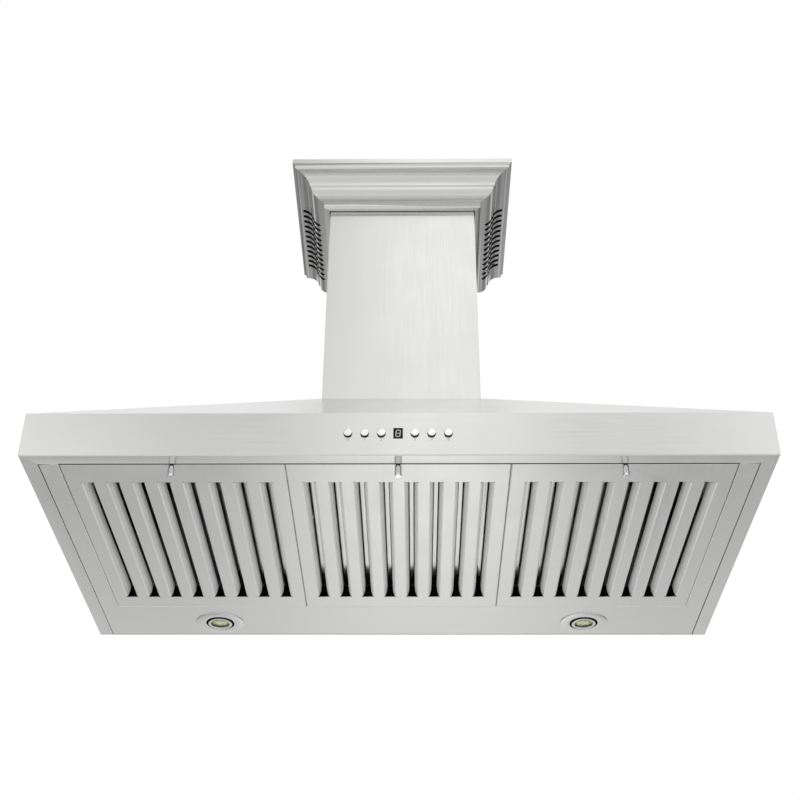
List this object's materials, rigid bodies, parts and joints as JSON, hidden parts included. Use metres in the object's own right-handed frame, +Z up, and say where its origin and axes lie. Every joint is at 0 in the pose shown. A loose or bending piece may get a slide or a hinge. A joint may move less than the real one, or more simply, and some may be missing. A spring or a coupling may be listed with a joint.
{
  "type": "wall range hood",
  "caption": "Wall-mounted stainless steel chimney range hood with pyramid canopy, baffle filters, puck lamps, push-button controls, telescoping chimney and crown moulding.",
  "frame": {"origin": "on the wall plane, at mid width, level with the underside of the canopy", "axes": "+X to the right of a cook who faces the hood, +Y into the wall, +Z up"},
  "size_m": [0.9, 0.503, 0.72],
  "materials": {
    "brushed_stainless": "fine brushed",
    "galvanised_steel": "spangled zinc",
    "spring_steel": "plain bright",
    "polished_chrome": "polished",
    "cast_aluminium": "satin",
    "wheel_aluminium": "mill finish",
    "motor_enamel": "satin black",
    "lamp_glass": "clear, slightly frosted",
    "display_black": "gloss black",
    "black_nylon": "matte",
    "circuit_board": "solder mask"
  },
  "bodies": {
    "hood": {"back_panel": "galvanised_steel", "base_panel": "brushed_stainless", "blower_housing_left": "galvanised_steel", "blower_housing_right": "galvanised_steel", "blower_screws": "spring_steel", "cable_gland": "black_nylon", "capacitor": "cast_aluminium", "chimney_rests": "galvanised_steel", "chimney_screws": "spring_steel", "control_board": "circuit_board", "control_housing": "black_nylon", "damper_pin": "spring_steel", "display_module": "display_black", "duct_collar": "galvanised_steel", "fascia_front": "brushed_stainless", "fascia_left": "brushed_stainless", "fascia_right": "brushed_stainless", "filter_catches": "spring_steel", "junction_box": "galvanised_steel", "junction_lid": "galvanised_steel", "lamp_body_left": "cast_aluminium", "lamp_body_right": "cast_aluminium", "lamp_clips": "spring_steel", "lamp_lens_left": "lamp_glass", "lamp_lens_right": "lamp_glass", "lamp_ring_left": "brushed_stainless", "lamp_ring_right": "brushed_stainless", "lower_chimney": "brushed_stainless", "motor": "motor_enamel", "motor_spider": "galvanised_steel", "panel_screws": "spring_steel", "slope_front": "brushed_stainless", "slope_left": "brushed_stainless", "slope_right": "brushed_stainless", "top_plate": "galvanised_steel"},
    "upper_chimney": {"upper_chimney": "brushed_stainless", "crown_front": "brushed_stainless", "crown_left": "brushed_stainless", "crown_right": "brushed_stainless", "crown_brackets": "galvanised_steel"},
    "blower_wheel": {"blower_wheel": "wheel_aluminium", "motor_shaft": "spring_steel"},
    "damper_flap_left": {"damper_flap_left": "galvanised_steel"},
    "damper_flap_right": {"damper_flap_right": "galvanised_steel"},
    "button_power": {"button_power": "polished_chrome"},
    "button_speed_1": {"button_speed_1": "polished_chrome"},
    "button_speed_2": {"button_speed_2": "polished_chrome"},
    "button_speed_3": {"button_speed_3": "polished_chrome"},
    "button_speed_4": {"button_speed_4": "polished_chrome"},
    "button_lamp": {"button_lamp": "polished_chrome"},
    "filter_left": {"filter_left_tray": "brushed_stainless", "filter_left_baffles": "brushed_stainless", "filter_left_knob": "polished_chrome"},
    "filter_middle": {"filter_middle_tray": "brushed_stainless", "filter_middle_baffles": "brushed_stainless", "filter_middle_knob": "polished_chrome"},
    "filter_right": {"filter_right_tray": "brushed_stainless", "filter_right_baffles": "brushed_stainless", "filter_right_knob": "polished_chrome"}
  },
  "joints": [
    {"name": "chimney_telescope", "type": "slide", "parent": "hood", "child": "upper_chimney", "axis": [0, 0, 1], "range_m": [0, 0.24]},
    {"name": "wheel_spin", "type": "hinge", "parent": "hood", "child": "blower_wheel", "pos_m": [0, -0.11, 0.15], "axis": [1, 0, 0], "continuous": true},
    {"name": "damper_left_swing", "type": "hinge", "parent": "hood", "child": "damper_flap_left", "pos_m": [0, -0.11, 0.306], "axis": [0, 1, 0], "range_deg": [0, 75]},
    {"name": "damper_right_swing", "type": "hinge", "parent": "hood", "child": "damper_flap_right", "pos_m": [0, -0.11, 0.306], "axis": [0, -1, 0], "range_deg": [0, 75]},
    {"name": "button_power_press", "type": "slide", "parent": "hood", "child": "button_power", "axis": [0, 1, 0], "range_m": [0, 0.0015], "stiffness_N_per_m": 400, "springref_m": -0.002},
    {"name": "button_speed_1_press", "type": "slide", "parent": "hood", "child": "button_speed_1", "axis": [0, 1, 0], "range_m": [0, 0.0015], "stiffness_N_per_m": 400, "springref_m": -0.002},
    {"name": "button_speed_2_press", "type": "slide", "parent": "hood", "child": "button_speed_2", "axis": [0, 1, 0], "range_m": [0, 0.0015], "stiffness_N_per_m": 400, "springref_m": -0.002},
    {"name": "button_speed_3_press", "type": "slide", "parent": "hood", "child": "button_speed_3", "axis": [0, 1, 0], "range_m": [0, 0.0015], "stiffness_N_per_m": 400, "springref_m": -0.002},
    {"name": "button_speed_4_press", "type": "slide", "parent": "hood", "child": "button_speed_4", "axis": [0, 1, 0], "range_m": [0, 0.0015], "stiffness_N_per_m": 400, "springref_m": -0.002},
    {"name": "button_lamp_press", "type": "slide", "parent": "hood", "child": "button_lamp", "axis": [0, 1, 0], "range_m": [0, 0.0015], "stiffness_N_per_m": 400, "springref_m": -0.002},
    {"name": "filter_left_tilt", "type": "hinge", "parent": "hood", "child": "filter_left", "pos_m": [-0.2707, -0.094, 0], "axis": [1, 0, 0], "range_deg": [0, 70]},
    {"name": "filter_middle_tilt", "type": "hinge", "parent": "hood", "child": "filter_middle", "pos_m": [0, -0.094, 0], "axis": [1, 0, 0], "range_deg": [0, 70]},
    {"name": "filter_right_tilt", "type": "hinge", "parent": "hood", "child": "filter_right", "pos_m": [0.2707, -0.094, 0], "axis": [1, 0, 0], "range_deg": [0, 70]}
  ]
}
